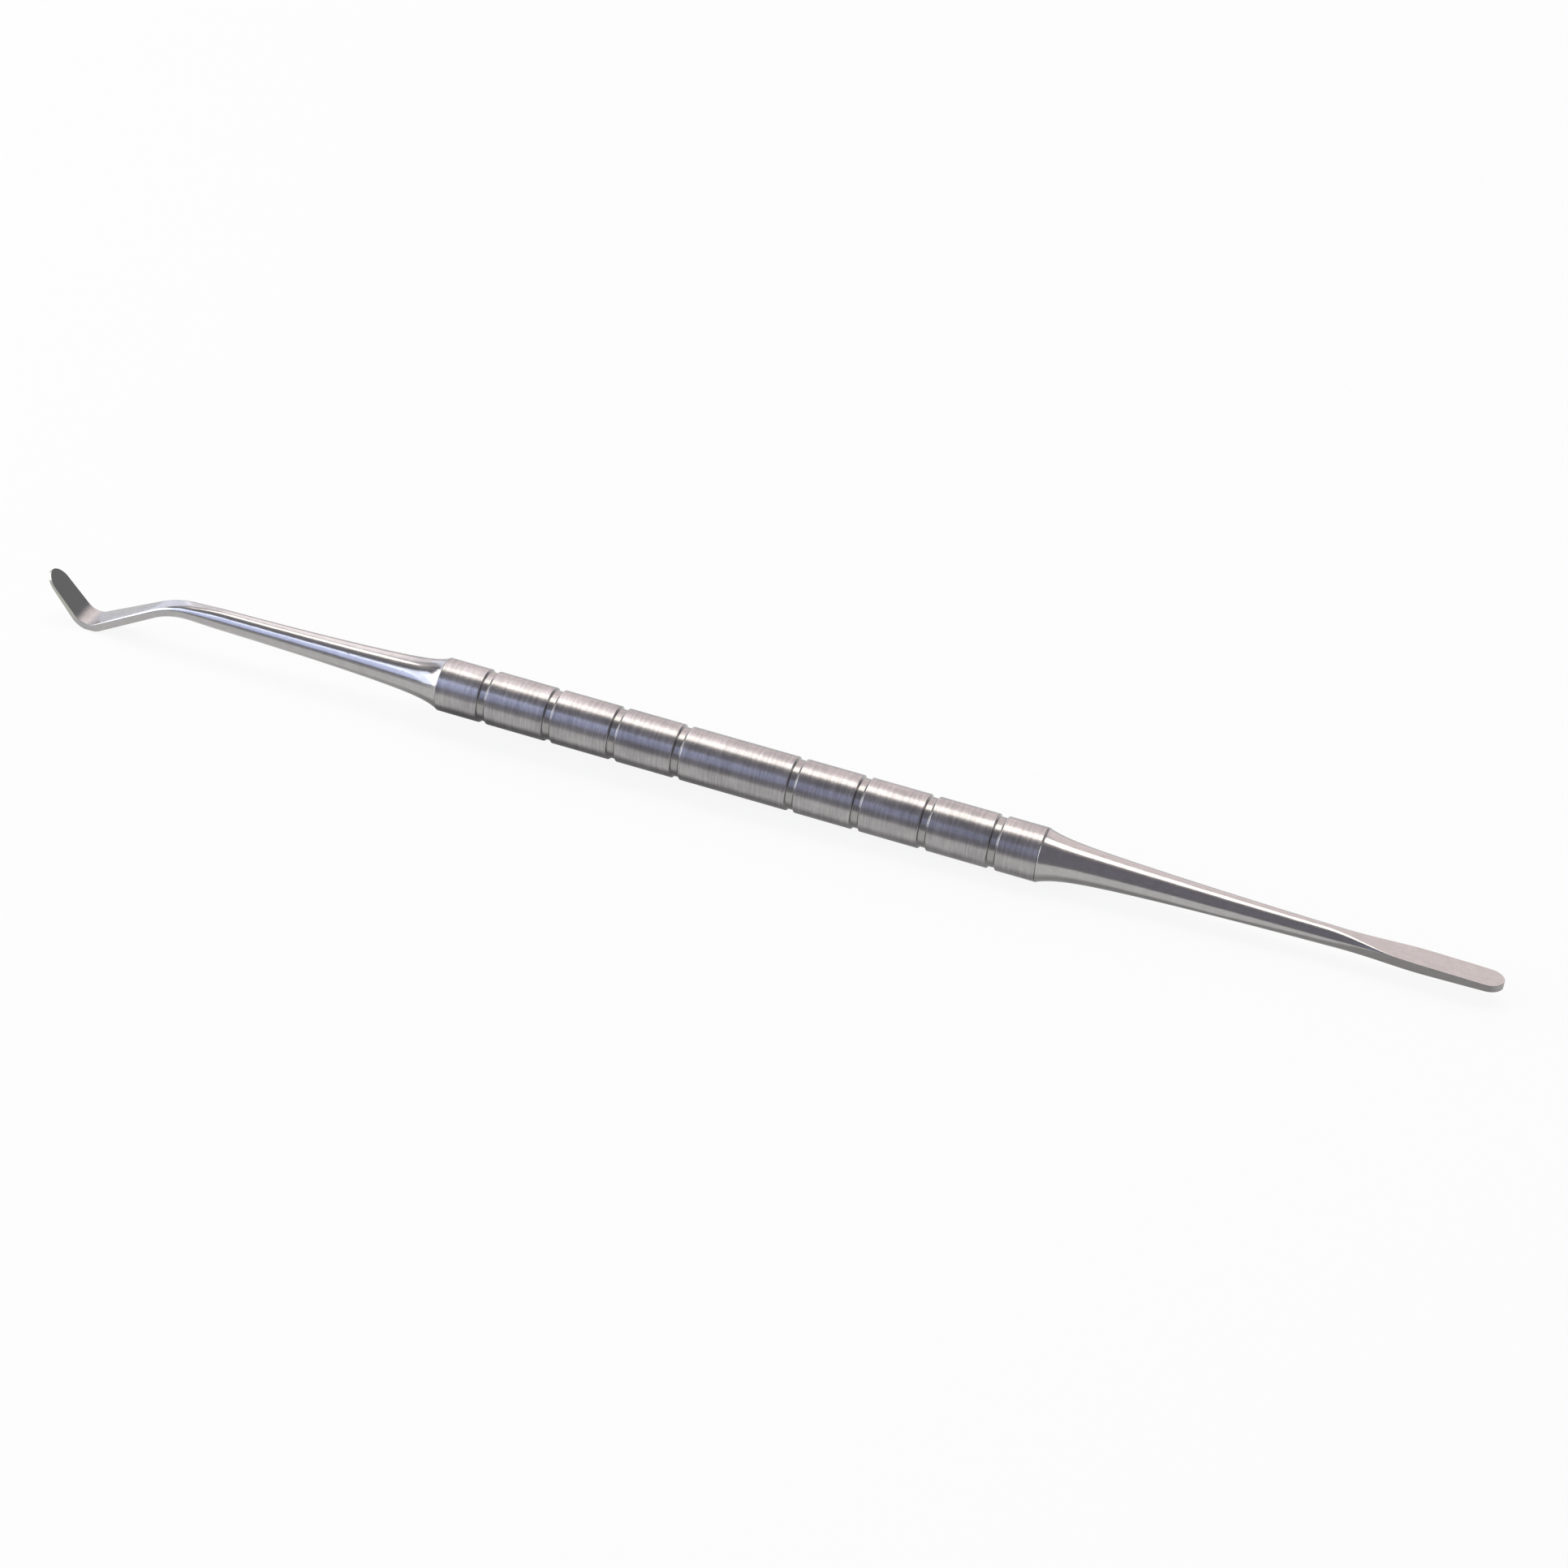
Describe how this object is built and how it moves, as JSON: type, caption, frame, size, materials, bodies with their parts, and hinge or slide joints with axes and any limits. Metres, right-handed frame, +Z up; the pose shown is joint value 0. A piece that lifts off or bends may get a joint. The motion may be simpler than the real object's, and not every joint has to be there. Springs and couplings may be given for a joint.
{
  "type": "dental elevator",
  "caption": "Slim double-ended steel dental elevator: grooved round handle, a straight flat round-nosed blade at one end and a short blade hooked back on a bent shank at the other.",
  "frame": {"origin": "on the table under the instrument, midway between its two tips", "axes": "+X along the handle towards the straight blade, +Z up from the table, +Y across the blades; the instrument lies as it rests, on its heel and the far corner of its handle"},
  "size_m": [0.1673, 0.006, 0.0075],
  "materials": {
    "turned_steel": "fine turned satin, marks run round the handle",
    "straight_end_steel": "polished shank, finely ground matt blade",
    "angled_end_steel": "bright polished shank, finely ground blade"
  },
  "bodies": {
    "root": {"handle": "turned_steel", "straight_end": "straight_end_steel", "angled_end": "angled_end_steel"}
  },
  "joints": []
}
